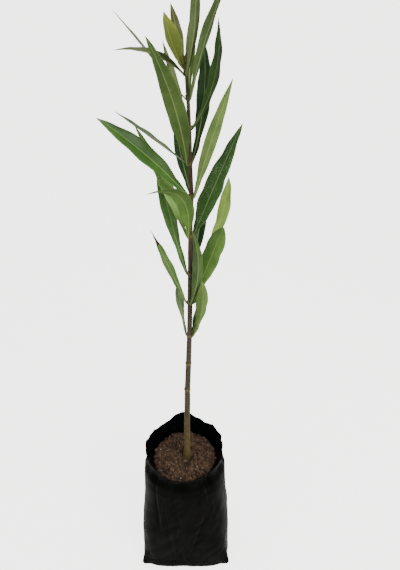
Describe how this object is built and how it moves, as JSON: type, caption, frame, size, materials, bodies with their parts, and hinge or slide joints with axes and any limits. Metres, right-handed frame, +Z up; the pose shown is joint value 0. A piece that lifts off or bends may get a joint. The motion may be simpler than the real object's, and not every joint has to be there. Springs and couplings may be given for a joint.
{
  "type": "oleander in a nursery bag",
  "caption": "Young single-stem oleander with whorls of long narrow leaves, standing in an open black film nursery bag filled with soil.",
  "frame": {"origin": "middle of the bag's flat underside, on the ground", "axes": "+Z up along the stem, -Y the side where the film dips to the soil, +X to the right seen from there"},
  "size_m": [0.1466, 0.1329, 0.8079],
  "materials": {
    "bag": "thin black film, dusty semi-gloss",
    "soil": "crumbly, matte",
    "stem": "smooth young bark, satin",
    "leaf": "leathery, semi-gloss",
    "young_leaf": "soft, satin"
  },
  "bodies": {
    "root": {"bag": "bag", "soil": "soil", "stem": "stem", "leaf_a_left": "leaf", "leaf_a_front": "leaf", "leaf_a_back": "leaf", "leaf_b_left": "leaf", "leaf_b_front": "leaf", "leaf_b_right": "leaf", "leaf_c_left": "leaf", "leaf_c_right": "leaf", "leaf_c_back": "leaf", "leaf_d_front": "leaf", "leaf_d_left": "leaf", "leaf_d_right": "leaf", "leaf_e_left": "leaf", "leaf_e_right": "leaf", "leaf_e_back": "leaf", "leaf_f_front": "leaf", "leaf_f_left": "leaf", "leaf_f_right": "leaf", "leaf_g_right": "leaf", "leaf_g_left": "leaf", "leaf_h_left": "leaf", "leaf_h_right": "leaf", "leaf_h_back": "leaf", "leaf_i_left": "leaf", "leaf_i_front": "leaf", "leaf_j_left": "young_leaf", "leaf_j_back": "young_leaf"}
  },
  "joints": []
}
